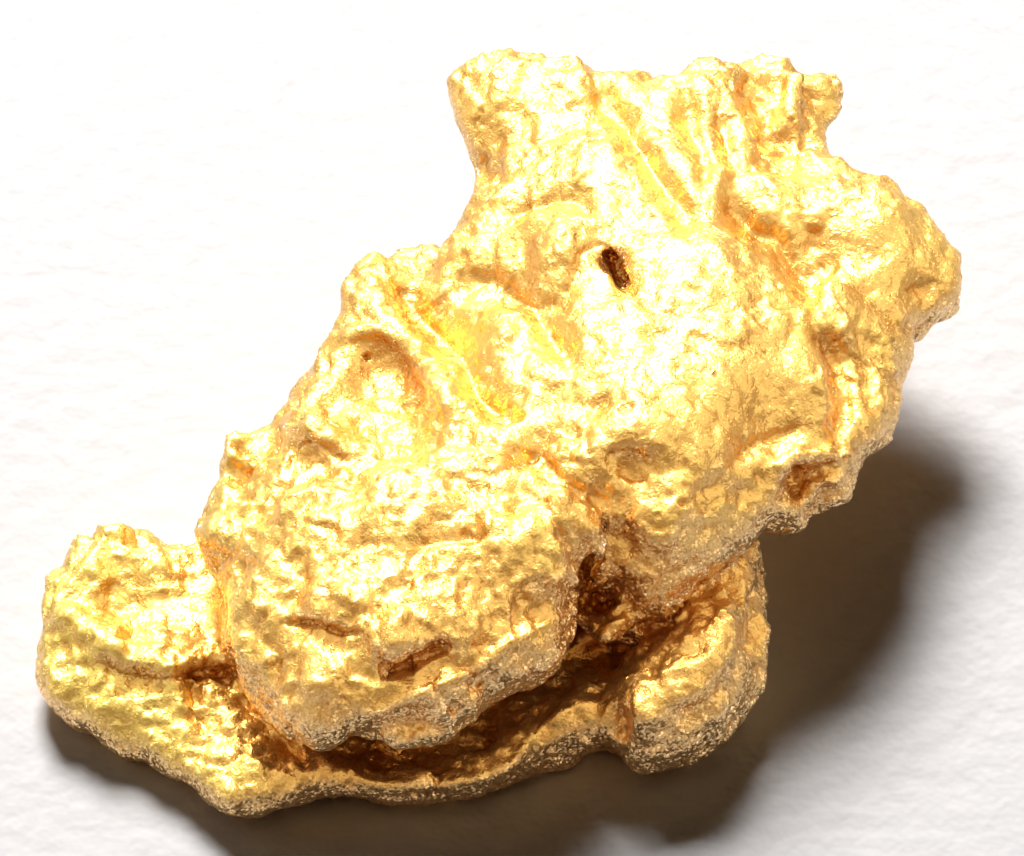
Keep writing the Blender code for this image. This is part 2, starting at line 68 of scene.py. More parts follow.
# Strokes over the surface that shows: kind, half width and depth in
# millimetres, and the pixels that the stroke runs through. A ledge stands high
# on the left of its direction and low on the right.
# First the hollows and folds of the slab, pressed while the mesh is coarse
FOLDS = (
    ("groove", 0.32, 0.10, ((385, 265), (400, 290), (420, 315), (445, 340), (465, 362), (476, 392),
                            (500, 412), (520, 428), (540, 450), (560, 478), (590, 495), (615, 500))),
    ("bowl", 0.62, 0.09, ((400, 395), (380, 370))),
    ("bowl", 0.38, 0.10, ((330, 408), (338, 400))),
    ("groove", 0.30, 0.12, ((460, 280), (500, 281), (508, 296), (530, 303), (540, 320), (560, 350),
                            (575, 362))),
    ("groove", 0.28, 0.12, ((500, 230), (518, 214), (542, 204), (575, 200), (592, 214), (600, 222))),
    ("bump", 0.95, 0.12, ((548, 226), (566, 230))),
    ("groove", 0.34, 0.14, ((590, 75), (610, 105), (627, 127), (642, 152), (665, 190), (680, 205),
                            (693, 235))),
    ("groove", 0.26, 0.14, ((684, 74), (690, 128), (702, 152), (706, 168), (700, 196))),
    ("groove", 0.26, 0.14, ((716, 72), (722, 130), (732, 158), (738, 190))),
    ("groove", 0.30, 0.22, ((728, 188), (736, 206), (750, 230), (774, 236), (788, 258), (808, 285),
                            (818, 312))),
    ("groove", 0.28, 0.24, ((740, 75), (755, 95), (766, 116), (770, 135), (785, 141), (786, 166))),
    ("ridge", 0.24, 0.20, ((789, 80), (793, 104), (790, 130))),
    ("groove", 0.20, 0.10, ((476, 112), (477, 132), (482, 150), (484, 168), (484, 180))),
    ("bowl", 0.60, 0.10, ((505, 132), (507, 120))),
    ("bowl", 0.45, 0.12, ((812, 248), (820, 264))),
    ("groove", 0.26, 0.22, ((822, 322), (838, 350), (846, 398), (840, 440))),
    ("bowl", 0.26, 0.34, ((794, 470), (800, 493))),
    ("bump", 0.34, 0.30, ((828, 478), (838, 492))),
    ("ridge", 0.14, 0.22, ((806, 508), (816, 484), (842, 468))),
    ("ridge", 0.24, 0.25, ((770, 500), (778, 472), (800, 456), (832, 452), (852, 462))),
    ("ridge", 0.50, 0.30, ((505, 425), (540, 452), (585, 488))),
    ("ridge", 0.36, 0.42, ((608, 500), (606, 540), (600, 580))),
    ("bump", 0.42, 0.55, ((597, 548), (604, 566))),
    ("bump", 0.50, 0.12, ((92, 572), (104, 582))),
    ("bump", 0.50, 0.12, ((162, 572), (172, 580))),
    ("ridge", 0.28, 0.24, ((160, 684), (190, 684), (228, 690))),
    ("bowl", 0.42, 0.08, ((528, 606), (548, 608))),
    ("bowl", 0.36, 0.16, ((630, 466), (638, 474))),
    ("bowl", 0.36, 0.30, ((590, 602), (606, 604))),
    ("ridge", 0.26, 0.18, ((372, 684), (384, 677), (418, 660), (452, 640), (462, 632))),
    ("ledge", 0.30, 0.26, ((384, 666), (415, 654), (448, 634))),
    ("bump", 0.60, 0.18, ((392, 628), (412, 632))),
    ("bump", 0.50, 0.16, ((564, 512), (586, 522))),
    ("bump", 0.46, 0.22, ((448, 706), (466, 700))),
    ("ridge", 0.26, 0.08, ((336, 344), (350, 333), (372, 331), (398, 338), (411, 354), (420, 376),
                           (436, 388), (446, 412), (448, 438))),
    ("bowl", 0.24, 0.20, ((230, 470), (246, 473))),
    ("groove", 0.16, 0.10, ((183, 676), (205, 675), (229, 676))),
    ("groove", 0.26, 0.08, ((232, 685), (242, 702), (280, 736), (302, 762))),
    ("ridge", 0.30, 0.20, ((52, 602), (80, 625), (100, 640), (122, 655), (150, 664), (178, 664),
                           (224, 659))),
    ("bump", 0.70, 0.18, ((645, 410), (660, 425))),
    ("bump", 0.90, 0.16, ((880, 232), (905, 262))),
    ("ledge", 0.24, 0.25, ((600, 638), (640, 620), (682, 619))),
    ("ledge", 0.22, 0.20, ((575, 652), (602, 641), (642, 640))),
    ("ledge", 0.55, 0.30, ((630, 742), (668, 718), (704, 694), (732, 654), (748, 606))),
)
# Then the creases, cracks, pits and lips, pressed into the fine mesh
CREASES = (
    ("crack", 0.10, 0.10, ((388, 272), (402, 294), (422, 318), (446, 342), (466, 364), (477, 394),
                           (500, 414), (522, 430))),
    ("crack", 0.09, 0.10, ((540, 452), (560, 478), (588, 494), (612, 500))),
    ("crack", 0.09, 0.20, ((605, 504), (606, 530), (600, 560), (591, 588), (600, 618))),
    ("ridge", 0.09, 0.14, ((578, 590), (598, 600), (622, 594))),
    ("ridge", 0.09, 0.12, ((582, 606), (604, 614), (626, 606))),
    ("ridge", 0.09, 0.12, ((586, 622), (606, 627), (628, 618))),
    ("crack", 0.10, 0.06, ((340, 354), (351, 342), (371, 340), (390, 345), (402, 358), (412, 380),
                           (428, 394), (437, 414), (438, 436))),
    ("pit", 0.10, 0.30, ((368, 357),)),
    ("bump", 0.45, 0.14, ((314, 428), (326, 432))),
    ("crack", 0.09, 0.18, ((293, 470), (295, 450), (310, 443), (325, 448), (337, 456), (355, 458),
                           (370, 452))),
    ("pit", 0.10, 0.10, ((357, 422),)),
    ("pit", 0.10, 0.10, ((361, 429),)),
    ("crack", 0.11, 0.22, ((229, 446), (238, 444), (247, 456))),
    ("crack", 0.08, 0.12, ((216, 552), (240, 561), (236, 576))),
    ("crack", 0.07, 0.40, ((280, 624), (290, 622), (301, 622), (322, 625), (341, 632), (362, 632))),
    ("ridge", 0.10, 0.10, ((284, 618), (302, 616), (323, 619), (343, 626))),
    ("bowl", 0.30, 0.16, ((312, 637), (334, 641))),
    ("crack", 0.16, 0.42, ((378, 678), (390, 674), (404, 669), (418, 664))),
    ("crack", 0.08, 0.26, ((384, 676), (400, 669), (420, 659), (440, 651), (453, 640))),
    ("ridge", 0.13, 0.12, ((388, 684), (410, 675), (432, 664), (452, 655))),
    ("crack", 0.08, 0.15, ((440, 476), (460, 478), (471, 486), (483, 494))),
    ("pit", 0.10, 0.14, ((486, 486),)),
    ("crack", 0.08, 0.18, ((490, 478), (505, 468), (520, 462), (540, 458))),
    ("crack", 0.08, 0.14, ((517, 521), (517, 506), (526, 502), (545, 500), (553, 504))),
    ("crack", 0.09, 0.14, ((546, 505), (555, 521), (563, 541), (575, 553))),
    ("bump", 0.26, 0.07, ((532, 512), (538, 530))),
    ("ledge", 0.12, 0.12, ((514, 640), (514, 604), (521, 584), (536, 578))),
    ("crack", 0.10, 0.20, ((515, 634), (514, 604), (521, 586))),
    ("bump", 0.24, 0.12, ((590, 530),)),
    ("crack", 0.09, 0.18, ((300, 520), (318, 524), (335, 531), (329, 545))),
    ("crack", 0.09, 0.18, ((460, 531), (474, 538), (486, 530))),
    ("groove", 0.45, 0.10, ((330, 560), (380, 572), (450, 600), (500, 610))),
    ("crack", 0.09, 0.12, ((608, 397), (597, 405), (590, 420))),
    ("crack", 0.09, 0.16, ((618, 411), (633, 402))),
    ("crack", 0.08, 0.14, ((608, 467), (610, 456), (621, 452), (640, 455), (648, 471))),
    ("ring", 0.08, 0.08, ((683, 503), (9, 7))),
    ("pit", 0.10, 0.10, ((683, 503),)),
    ("pit", 0.10, 0.14, ((658, 515),)),
    ("crack", 0.09, 0.18, ((649, 522), (658, 530), (669, 525))),
    ("crack", 0.10, 0.14, ((735, 460), (750, 446), (765, 440), (790, 431), (801, 420))),
    ("crack", 0.10, 0.16, ((799, 450), (820, 445), (850, 458))),
    ("pit", 0.12, 0.25, ((848, 459),)),
    ("bump", 0.26, 0.16, ((788, 508), (792, 514))),
    ("ridge", 0.15, 0.20, ((336, 702), (370, 712), (400, 701), (430, 690), (452, 680), (480, 666),
                           (512, 641), (545, 626), (570, 606))),
    ("pit", 0.20, 0.18, ((454, 709),)),
    ("pit", 0.10, 0.25, ((481, 686),)),
    ("bump", 0.20, 0.18, ((388, 733),)),
    ("bump", 0.18, 0.18, ((403, 738),)),
    ("bump", 0.20, 0.18, ((418, 734),)),
    ("bump", 0.18, 0.16, ((436, 735),)),
    ("bump", 0.16, 0.14, ((450, 731),)),
    ("ridge", 0.12, 0.16, ((536, 671), (554, 658), (567, 640))),
    ("pit", 0.15, 0.50, ((609, 254), (615, 266), (622, 281))),
    ("crack", 0.10, 0.16, ((610, 246), (596, 245), (583, 252), (579, 264), (574, 278), (564, 292),
                           (555, 303), (538, 308))),
    ("crack", 0.09, 0.09, ((500, 281), (508, 296), (530, 304), (540, 320), (560, 350))),
    ("crack", 0.09, 0.09, ((515, 216), (542, 205), (575, 201), (592, 215))),
    ("crack", 0.09, 0.10, ((612, 108), (642, 153), (666, 191), (682, 208))),
    ("crack", 0.09, 0.10, ((738, 208), (752, 231), (775, 237), (788, 258), (806, 284))),
    ("crack", 0.10, 0.10, ((808, 253), (812, 236), (823, 230))),
    ("pit", 0.12, 0.10, ((821, 266),)),
    ("crack", 0.10, 0.10, ((904, 291), (916, 287), (931, 290))),
    ("crack", 0.10, 0.12, ((477, 130), (478, 132), (483, 150), (484, 174))),
    ("ridge", 0.13, 0.14, ((330, 776), (346, 769), (361, 779), (380, 784), (430, 786), (452, 783),
                           (480, 778), (510, 766), (530, 739), (550, 723), (566, 712), (590, 704),
                           (618, 704))),
    ("crack", 0.10, 0.06, ((90, 590), (115, 601), (131, 620), (150, 641))),
    ("crack", 0.10, 0.05, ((76, 604), (98, 616), (114, 632))),
    ("crack", 0.10, 0.05, ((112, 584), (134, 598), (150, 616), (164, 640))),
    ("crack", 0.09, 0.14, ((98, 662), (122, 674), (155, 680), (182, 677), (206, 671), (231, 666))),
    ("crack", 0.10, 0.12, ((234, 688), (244, 704), (281, 738), (302, 764))),
    ("ridge", 0.08, 0.16, ((704, 600), (718, 608), (735, 625))),
    ("pit", 0.17, 0.30, ((674, 611),)),
    ("ring", 0.08, 0.12, ((674, 611), (10, 8))),
    ("crack", 0.10, 0.18, ((619, 704), (623, 724), (620, 742))),
    ("crack", 0.11, 0.08, ((160, 548), (172, 562), (170, 580))),
    ("crack", 0.10, 0.16, ((640, 560), (665, 575), (700, 560))),
    ("crack", 0.10, 0.14, ((660, 700), (676, 712), (700, 705))),
)
# Places whose forms are eased before the strokes: middle and reach in pixels
EASED = (
    ((640, 250), 270), ((430, 470), 220), ((320, 640), 120), ((125, 600), 85), ((205, 690), 60),
    ((540, 600), 60), ((840, 380), 80), ((785, 395), 75), ((690, 520), 60),
)
# Rougher or smoother places: middle and reach in pixels, and how rough
ROUGHER = (
    ((235, 735), 75, 1.5), ((300, 780), 40, 1.3), ((110, 600), 60, 0.9), ((845, 380), 55, 1.5),
    ((600, 600), 45, 1.7), ((470, 520), 110, 1.15), ((385, 385), 55, 0.6), ((700, 700), 55, 0.7),
    ((205, 610), 35, 0.5), ((540, 515), 25, 0.5), ((320, 640), 30, 0.7), ((460, 760), 70, 1.2),
    ((630, 250), 200, 0.50), ((740, 400), 70, 0.8), ((900, 260), 65, 0.55),
    ((800, 392), 60, 0.30),
)
# Which of the noise's draws bends the crumples, so that every run gives the same ones
CRUMPLE_SEED = 1
# Sizes of the crumples, in millimetres
BEND_SIZE = 1.3
LUMP_SIZE = 0.95
SMALL_LUMP_SIZE = 0.46
PEBBLE_SIZE = 0.40
PEBBLE_PATCH_SIZE = 1.6
GRIT_SIZE = 0.24
# Level of the lumps above the creases between them, as a share of their height
LUMP_LEVEL = 0.62
# Tilted plates: size in millimetres, width of the edge between two, share and bend
PLATE_SETS = ((1.70, 0.16, 0.65, 0.6), (0.80, 0.20, 1.0, -0.4), (0.36, 0.35, 1.0, 0.3))
# How often the mesh is smoothed, eased and spread
COARSE_ROUNDS = 10
EASE_ROUNDS = 12
SHARPEN_ROUNDS = 10
FINE_ROUNDS = 3
# How much the finer edges are stressed, and the most that it moves a point, in millimetres
SHARPEN_SHARE = 0.9
SHARPEN_LIMIT = 0.2
# How far above the skin a ray starts, and how far it looks for what hides a point, in millimetres
RAY_START = 0.06
LOOKOUT_START = 0.05
LOOKOUT_REACH = 5.0
# Depth of a full crease, in millimetres
FULL_CREASE = 0.03
# Sizes of the skin's grains, froth and patches of silver, and of the paper's tooth, in metres
GRAIN_SIZE = 0.00008
FROTH_SIZE = 0.00050
PATCH_SIZE = 0.0024
TOOTH_SIZE = 0.0009
# Heights in metres of the froth, of the furrows in it, of the grains and of the paper's tooth
FROTH_HEIGHT = 0.00005
FURROW_HEIGHT = 0.000012
GRAIN_HEIGHT = 0.000012
TOOTH_HEIGHT = 0.00008
# Where the silver-rich metal starts and where it is full, in metres from the middle
SILVER_START = -0.006
SILVER_FULL = -0.0095
# Where the lights at the back and at the left stand and how wide they are, in metres
KEY_PLACE = (-0.055, 0.275, 0.26)
KEY_SIZE = 0.14
SIDE_PLACE = (-0.30, 0.11, 0.19)
SIDE_SIZE = 0.22
FLOOR_SIZE = 3.0
# The room's light where it is dim and where it is bright, sRGB hex
DIM_ROOM = "#FFBE74"
BRIGHT_ROOM = "#FFFAF4"
# Directions in which a point looks for what hides it
LOOKOUTS = tuple(
    (math.cos(turn) * math.cos(rise), math.sin(turn) * math.cos(rise), math.sin(rise))
    for rise, count in ((0.15, 6), (0.75, 5), (1.35, 2), (-0.6, 3))
    for turn in (math.tau * (step + rise) / count for step in range(count))
)


def view_axes():
    """The front view's right, up and back directions."""
    right = np.array((1.0, 0.0, 0.0))
    up = np.array((0.0, math.sin(VIEW_TILT), math.cos(VIEW_TILT)))
    back = np.array((0.0, -math.cos(VIEW_TILT), math.sin(VIEW_TILT)))
    return right, up, back


def eye():
    """Where the front view is taken from, in millimetres."""
    return np.array(VIEW_TARGET) + view_axes()[2] * VIEW_DISTANCE


def to_pixels(points):
    """The pixels at which the front view shows points."""
    right, up, back = view_axes()
    offset = points - eye()
    scale = VIEW_DISTANCE / -(offset @ back) / PIXEL
    px = VIEW_WIDTH_PX / 2 + (offset @ right) * scale
    py = VIEW_HEIGHT_PX / 2 - (offset @ up) * scale
    return np.stack((px, py), axis=1)


def linear(code):
    """A colour from its sRGB hex code, as linear RGBA."""
    parts = [int(code[place:place + 2], 16) / 255 for place in (1, 3, 5)]
    return (*(c / 12.92 if c <= 0.04045 else ((c + 0.055) / 1.055) ** 2.4 for c in parts), 1.0)


def add_node(tree, kind, links=None, **settings):
    """A node with its attributes, socket values and incoming links set."""
    node = tree.nodes.new(kind)
    for key, value in settings.items():
        if hasattr(node, key):
            setattr(node, key, value)
        else:
            node.inputs[key.replace("_", " ")].default_value = value
    for key, source in (links or {}).items():
        tree.links.new(source, node.inputs[key])
    return node


class NuggetShape(bpy.types.PropertyGroup):
    """Sizes of the surface, in millimetres."""

    coarse: bpy.props.FloatProperty(
        name="Coarse mesh", description="Mesh spacing while the folds are pressed, in mm",
        default=0.15, min=0.08,
    )
    fine: bpy.props.FloatProperty(
        name="Fine mesh", description="Mesh spacing while the creases are pressed, in mm",
        default=0.096, min=0.08,
    )
    lumps: bpy.props.FloatProperty(
        name="Lumps", description="Height of the crumpled lumps, in mm", default=0.040,
    )
    pebbles: bpy.props.FloatProperty(
        name="Pebbles", description="Height of the small round lumps, in mm", default=0.044,
    )
    plates: bpy.props.FloatProperty(
        name="Plates", description="Steepness of the small tilted plates", default=0.42,
    )
    triangles: bpy.props.IntProperty(
        name="Triangles", description="Most triangles in the finished surface", default=194000,
    )


class NuggetFinish(bpy.types.PropertyGroup):
    """Colours and lights."""

    gold: bpy.props.StringProperty(
        name="Gold", description="The clean metal's colour, sRGB hex", default="#E4B663",
    )
    green: bpy.props.StringProperty(
        name="Green gold", description="The silver-rich metal's colour, sRGB hex",
        default="#DFC066",
    )
    # Painted light: a paler colour on faces that look sideways or down, over their real sandy wear
    worn_and_side_light: bpy.props.StringProperty(
        name="Worn gold", description="The metal's colour on worn outer faces, sRGB hex",
        default="#FFDCA2",
    )
    # Painted shade: a darker gold where points are partly hidden
    valley_shade: bpy.props.StringProperty(
        name="Valleys", description="The faintly stained metal's colour in valleys, sRGB hex",
        default="#E6AC5C",
    )
    # Painted shade in hollows and creases: a darker, redder colour, partly a thin iron staining
    hollow_shade_and_stain: bpy.props.StringProperty(
        name="Hollows", description="The stained metal's colour in hollows, sRGB hex",
        default="#B5742A",
    )
    dust: bpy.props.StringProperty(
        name="Dust", description="Colour of the dirt between the grains, sRGB hex",
        default="#A8682C",
    )
    roughness: bpy.props.FloatProperty(
        name="Roughness", description="Mean roughness of the gold", default=0.40, min=0.0, max=1.0,
    )
    paper: bpy.props.StringProperty(
        name="Paper", description="The floor's colour, sRGB hex", default="#CFCCCB",
    )
    key: bpy.props.FloatProperty(
        name="Key light", description="Power of the light at the back, in watts", default=3.35,
    )
    side: bpy.props.FloatProperty(
        name="Side light", description="Power of the light at the left, in watts", default=0.06,
    )


def alone(item):
    """Make an object the only one selected, and active."""
    bpy.ops.object.select_all(action="DESELECT")
    item.select_set(True)
    bpy.context.view_layer.objects.active = item


def finish_with(item, kind, **settings):
    """Add a modifier to an object and apply it."""
    alone(item)
    bpy.ops.object.modifier_add(type=kind)
    modifier = item.modifiers[-1]
    for key, value in settings.items():
        setattr(modifier, key, value)
    bpy.ops.object.modifier_apply(modifier=modifier.name)


def get_points(item):
    """An object's points as an array."""
    points = np.empty(len(item.data.vertices) * 3)
    item.data.vertices.foreach_get("co", points)
    return points.reshape(-1, 3)


def set_points(item, points):
    """Move an object's points to an array's."""
    item.data.vertices.foreach_set("co", points.ravel())
    item.data.update()


def get_normals(item):
    """An object's point normals as an array."""
    normals = np.empty(len(item.data.vertices) * 3)
    item.data.vertex_normals.foreach_get("vector", normals)
    return normals.reshape(-1, 3)


def ray_tree(item):
    """A tree of an object's faces for casting rays."""
    points = [tuple(point) for point in get_points(item)]
    return BVHTree.FromPolygons(points, [tuple(face.vertices) for face in item.data.polygons])


def line_distance(points, line):
    """Distance of 2-D points to an open line, how far along it and on which side."""
    line = np.array(line, dtype=float)
    if len(line) == 1:
        gap = np.linalg.norm(points - line[0], axis=1)
        return gap, np.full(len(points), 0.5), np.zeros(len(points))
    starts, ends = line[:-1], line[1:]
    lengths = np.linalg.norm(ends - starts, axis=1)
    run = np.concatenate(((0.0,), np.cumsum(lengths)))
    best = np.full(len(points), np.inf)
    along, side = np.zeros(len(points)), np.zeros(len(points))
    for index, (start, end, length) in enumerate(zip(starts, ends, lengths)):
        if length == 0:
            continue
        way = (end - start) / length
        offset = points - start
        reach = np.clip(offset @ way, 0.0, length)
        gap = np.linalg.norm(offset - reach[:, None] * way, axis=1)
        closer = gap < best
        best[closer] = gap[closer]
        along[closer] = (run[index] + reach[closer]) / run[-1]
        side[closer] = way[1] * offset[closer, 0] - way[0] * offset[closer, 1]
    return best, along, np.sign(side)


def smooth_line(line, steps=4):
    """A smooth curve through an open line's points."""
    if len(line) < 3:
        return np.array(line, dtype=float)
    points = np.array([line[0], *line, line[-1]], dtype=float)
    curve = []
    for a, b, c, d in zip(points, points[1:], points[2:], points[3:]):
        for step in range(steps):
            t = step / steps
            curve.append(0.5 * (2 * b + (c - a) * t + (2 * a - 5 * b + 4 * c - d) * t**2
                                + (3 * b - a - 3 * c + d) * t**3))
    return np.array([*curve, points[-1]])


def ring_line(middle, radii, steps=20):
    """An ellipse as a line."""
    turns = np.linspace(0.0, math.tau, steps + 1)
    return np.array(middle) + np.stack((np.cos(turns), np.sin(turns)), axis=1) * radii


def stroke_profile(kind, gap, side, along, width):
    """How far a stroke lifts the surface, from -1 to 1."""
    bell = np.exp(-((gap / width) ** 2))
    ends = np.clip(np.minimum(along, 1.0 - along) * 6.0 + 0.2, 0.0, 1.0)
    if kind == "ring":
        return bell
    if kind == "ridge":
        return bell * ends
    if kind == "groove":
        return -bell * ends
    if kind == "crack":
        return -np.exp(-gap / width) * ends
    if kind == "pit":
        return -np.exp(-((gap / width) ** 4))
    if kind == "bowl":
        return -np.exp(-((gap / width) ** 3))
    if kind == "bump":
        return bell
    return np.tanh(side * gap / width * 1.6) * np.exp(-((gap / (2.4 * width)) ** 2)) * ends


def shown_from_front(item):
    """How fully each point shows in the front view, from 0 to 1."""
    points, normals, tree = get_points(item), get_normals(item), ray_tree(item)
    ways = eye() - points
    ways /= np.linalg.norm(ways, axis=1)[:, None]
    facing = (ways * normals).sum(axis=1)
    shown = np.zeros(len(points))
    starts = points + normals * RAY_START + ways * RAY_START
    for index in np.nonzero(facing > 0.02)[0]:
        if tree.ray_cast(Vector(starts[index]), Vector(ways[index]))[0] is None:
            shown[index] = min(1.0, facing[index] * 4)
    return shown


def press(item, strokes):
    """Press strokes into the surface that shows from the front."""
    points, normals, shown = get_points(item), get_normals(item), shown_from_front(item)
    pixels = to_pixels(points)
    lift = np.zeros(len(points))
    for kind, width, depth, line in strokes:
        curve = ring_line(*line) if kind == "ring" else smooth_line(line)
        reach = 4 * width / PIXEL
        low, high = np.min(curve, axis=0) - reach, np.max(curve, axis=0) + reach
        near = ((pixels > low) & (pixels < high)).all(axis=1)
        gap, along, side = line_distance(pixels[near], curve)
        lift[near] += depth * stroke_profile(kind, gap * PIXEL, side, along, width)
    set_points(item, points + normals * (lift * shown)[:, None])


def roughness_of_places(points, shown):
    """How rough each point's surroundings are, 1 for plain places."""
    pixels = to_pixels(points)
    rough = np.ones(len(points))
    for middle, reach, much in ROUGHER:
        gap = np.linalg.norm(pixels - middle, axis=1) / reach
        rough += (much - 1.0) * np.exp(-gap**4) * shown
    return rough


def plates(point, size, blend):
    """Height of tilted plates of about a size, which meet in edges."""
    place = point / size
    (near, far, *_), centres = noise.voronoi(place)
    share = 0.5 + 0.5 * min(1.0, (far - near) / blend)
    first, second = (
        (place - centre).dot(noise.cell_vector(centre) - HALF) for centre in centres[:2]
    )
    return size * (share * first + (1.0 - share) * second)


def billow(point):
    """Height of round lumps with creases between them."""
    return LUMP_LEVEL - 2.0 * abs(noise.noise(point))


def crumple(item, shape):
    """Crumpled lumps and small round pebbles all over."""
    noise.seed_set(CRUMPLE_SEED)
    points, normals = get_points(item), get_normals(item)
    rough = roughness_of_places(points, shown_from_front(item))
    lift, round_lift = np.empty(len(points)), np.empty(len(points))
    for index, place in enumerate(points):
        point = Vector(place)
        bend = noise.noise_vector(point / BEND_SIZE) * 0.4
        lump = billow((point + bend) / LUMP_SIZE)
        lump += 0.5 * billow((point - bend) / SMALL_LUMP_SIZE)
        near, far = noise.voronoi((point + bend * 0.7) / PEBBLE_SIZE)[0][:2]
        pebble = min(1.0, (far - near) * 2.4)
        pebble *= 0.6 + noise.noise(point / PEBBLE_PATCH_SIZE)
        grit = noise.noise(point / GRIT_SIZE)
        tilted = sum(
            part * plates(point + bend * turn, size, blend)
            for size, blend, part, turn in PLATE_SETS
        )
        round_lift[index] = shape.pebbles * (pebble + 0.4 * grit)
        lift[index] = shape.lumps * lump + shape.plates * tilted
    exposed = 0.5 + 0.5 * np.clip(normals[:, 2] * 2.0, 0.0, 1.0)
    lift = (lift * rough + round_lift) * exposed
    set_points(item, points + normals * lift[:, None])


def ease(item, rounds):
    """Soften the eased places, where they face the front view."""
    points, normals = get_points(item), get_normals(item)
    pairs, weights = neighbours(item)
    pixels = to_pixels(points)
    share = np.zeros(len(points))
    for middle, reach in EASED:
        gap = np.linalg.norm(pixels - middle, axis=1) / reach
        share = np.maximum(share, np.exp(-gap**6))
    share *= shown_from_front(item) * np.clip(normals @ view_axes()[2] * 3.0 - 0.6, 0.0, 1.0)
    share = spread(share[:, None], pairs, weights, 4)
    set_points(item, points + (spread(points, pairs, weights, rounds) - points) * share)


def sharpen(item, rounds, much):
    """Stress the edges and hollows that are finer than a spread over some rounds."""
    points, normals = get_points(item), get_normals(item)
    pairs, weights = neighbours(item)
    lift = ((points - spread(points, pairs, weights, rounds)) * normals).sum(axis=1)
    set_points(item, points + normals * (np.clip(lift, -SHARPEN_LIMIT, SHARPEN_LIMIT) * much)[:, None])


def spread(values, pairs, weights, rounds):
    """Values averaged with their neighbours', some rounds over."""
    for _ in range(rounds):
        total = np.zeros_like(values)
        for column in range(values.shape[1]):
            total[:, column] = np.bincount(
                pairs[:, 0], weights=values[pairs[:, 1], column], minlength=len(values)
            ) + np.bincount(
                pairs[:, 1], weights=values[pairs[:, 0], column], minlength=len(values)
            )
        values = 0.5 * values + 0.5 * total / weights[:, None]
    return values


def neighbours(item):
    """The mesh's edges as pairs of points, and how many edges each point has."""
    pairs = np.empty(len(item.data.edges) * 2, dtype=np.int64)
    item.data.edges.foreach_get("vertices", pairs)
    pairs = pairs.reshape(-1, 2)
    weights = np.bincount(pairs.ravel(), minlength=len(item.data.vertices)).astype(float)
    return pairs, np.maximum(weights, 1.0)


def mark(item, name, values):
    """Store one number for each point under a name."""
    layer = item.data.attributes.new(name, "FLOAT", "POINT")
    layer.data.foreach_set("value", values.astype(np.float32))


def mark_places(item):
    """Mark how hidden, how creased and how far each point faces sideways or down, for the material."""
    points, normals, tree = get_points(item), get_normals(item), ray_tree(item)
    pairs, weights = neighbours(item)
    lookouts = np.array(LOOKOUTS)
    facing = normals @ lookouts.T
    starts = points + normals * LOOKOUT_START
    ways = [Vector(way) for way in LOOKOUTS]
    # How hidden each point is, from rays that hit the nugget; the material darkens by it as painted
    # shade
    hidden = np.zeros(len(points))
    for index, start in enumerate(starts):
        origin = Vector(start)
        open_ways = np.nonzero(facing[index] > 0.15)[0]
        hits = sum(
            tree.ray_cast(origin, ways[way], LOOKOUT_REACH)[0] is not None for way in open_ways
        )
        hidden[index] = hits / max(1, len(open_ways))
    hidden = spread(hidden[:, None], pairs, weights, 3)[:, 0]
    # How far a point lies below its surroundings; the material darkens creases by it as painted shade
    level = spread(points, pairs, weights, 8)
    crease = np.clip(((level - points) * normals).sum(axis=1) / FULL_CREASE, -1.0, 1.0)
    # How far a point faces sideways or down: it marks the sandy wear, and where the paler colour is
    # painted as painted light
    worn_and_side_light = 1.0 - np.clip((spread(normals, pairs, weights, 12)[:, 2] - 0.15) / 0.5, 0.0, 1.0)
    mark(item, "hidden", hidden)
    mark(item, "crease", crease)
    mark(item, "worn_and_side_light", worn_and_side_light)


def scaled(tree, source, factor):
    """A value times a number or another value."""
    node = add_node(tree, "ShaderNodeMath", {0: source}, operation="MULTIPLY")
    if isinstance(factor, (int, float)):
        node.inputs[1].default_value = factor
    else:
        tree.links.new(factor, node.inputs[1])
    return node.outputs[0]


def added(tree, first, second):
    """The sum of two values."""
    return add_node(tree, "ShaderNodeMath", {0: first, 1: second}, operation="ADD").outputs[0]


def ranged(tree, source, low, high, to_low=0.0, to_high=1.0):
    """A value mapped from one range to another, clamped."""
    node = add_node(
        tree, "ShaderNodeMapRange", {"Value": source},
        From_Min=low, From_Max=high, To_Min=to_low, To_Max=to_high,
    )
    return node.outputs["Result"]


def mixed(tree, factor, first, second):
    """A colour between two, each a hex code or a colour output."""
    node = add_node(tree, "ShaderNodeMix", {"Factor": factor}, data_type="RGBA")
    for place, colour in ((6, first), (7, second)):
        if isinstance(colour, str):
            node.inputs[place].default_value = linear(colour)
        else:
            tree.links.new(colour, node.inputs[place])
    return node.outputs[2]


def marked(tree, name):
    """The number stored for each point under a name."""
    return add_node(tree, "ShaderNodeAttribute", attribute_name=name).outputs["Fac"]


def furrowed(tree, source, sharpness):
    """Plateaus, with narrow furrows where a noise passes its middle."""
    offset = add_node(tree, "ShaderNodeMath", {0: source}, operation="SUBTRACT")
    offset.inputs[1].default_value = 0.5
    size = add_node(tree, "ShaderNodeMath", {0: offset.outputs[0]}, operation="ABSOLUTE")
    return ranged(tree, size.outputs[0], 0.0, 1.0 / sharpness)


